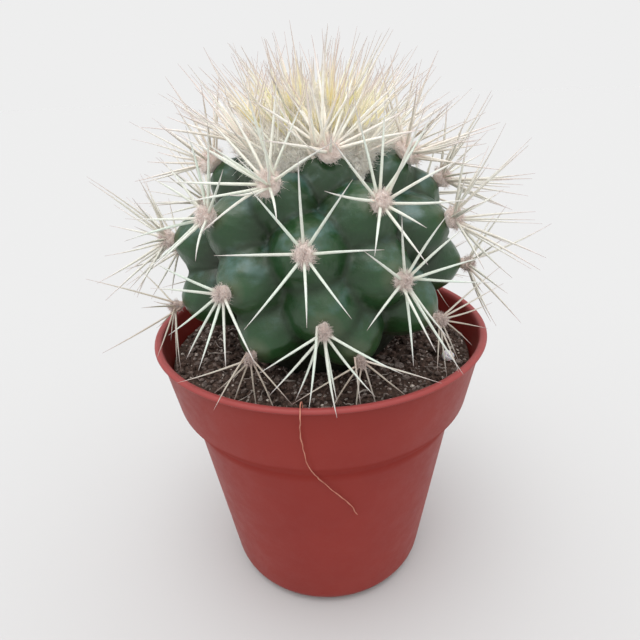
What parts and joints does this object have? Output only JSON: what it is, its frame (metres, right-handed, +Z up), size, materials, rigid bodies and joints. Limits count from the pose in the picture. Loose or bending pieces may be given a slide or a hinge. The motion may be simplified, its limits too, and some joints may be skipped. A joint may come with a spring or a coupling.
{
  "type": "potted round cactus",
  "caption": "Small round spiny cactus growing in soil in a tapered nursery pot with a deep collar, a rolled lip and drain holes.",
  "frame": {"origin": "centre of the underside of the pot's base, on the pot's axis", "axes": "+Z up out of the pot, -Y towards the side that faces the viewer, +X to the viewer's right"},
  "size_m": [0.0686, 0.0656, 0.0931],
  "materials": {
    "pot_plastic": "satin",
    "soil_peat": "matte",
    "stem_skin": "satin",
    "spine_straw": "satin",
    "perlite_white": "matte",
    "root_beige": "matte"
  },
  "bodies": {
    "root": {"cactus_stem": "stem_skin", "crown_tuft": "spine_straw", "perlite_grain": "perlite_white", "pot": "pot_plastic", "root_fibre": "root_beige", "soil": "soil_peat", "spine_cluster_01": "spine_straw", "spine_cluster_02": "spine_straw", "spine_cluster_03": "spine_straw", "spine_cluster_04": "spine_straw", "spine_cluster_05": "spine_straw", "spine_cluster_06": "spine_straw", "spine_cluster_07": "spine_straw", "spine_cluster_08": "spine_straw", "spine_cluster_09": "spine_straw", "spine_cluster_10": "spine_straw", "spine_cluster_11": "spine_straw", "spine_cluster_12": "spine_straw", "spine_cluster_13": "spine_straw", "spine_cluster_14": "spine_straw", "spine_cluster_15": "spine_straw", "spine_cluster_16": "spine_straw", "spine_cluster_17": "spine_straw", "spine_cluster_18": "spine_straw", "spine_cluster_19": "spine_straw", "spine_cluster_20": "spine_straw", "spine_cluster_21": "spine_straw", "spine_cluster_22": "spine_straw", "spine_cluster_23": "spine_straw", "spine_cluster_24": "spine_straw", "spine_cluster_25": "spine_straw", "spine_cluster_26": "spine_straw", "spine_cluster_27": "spine_straw", "spine_cluster_28": "spine_straw", "spine_cluster_29": "spine_straw", "spine_cluster_30": "spine_straw", "spine_cluster_31": "spine_straw", "spine_cluster_32": "spine_straw", "spine_cluster_33": "spine_straw", "spine_cluster_34": "spine_straw"}
  },
  "joints": []
}
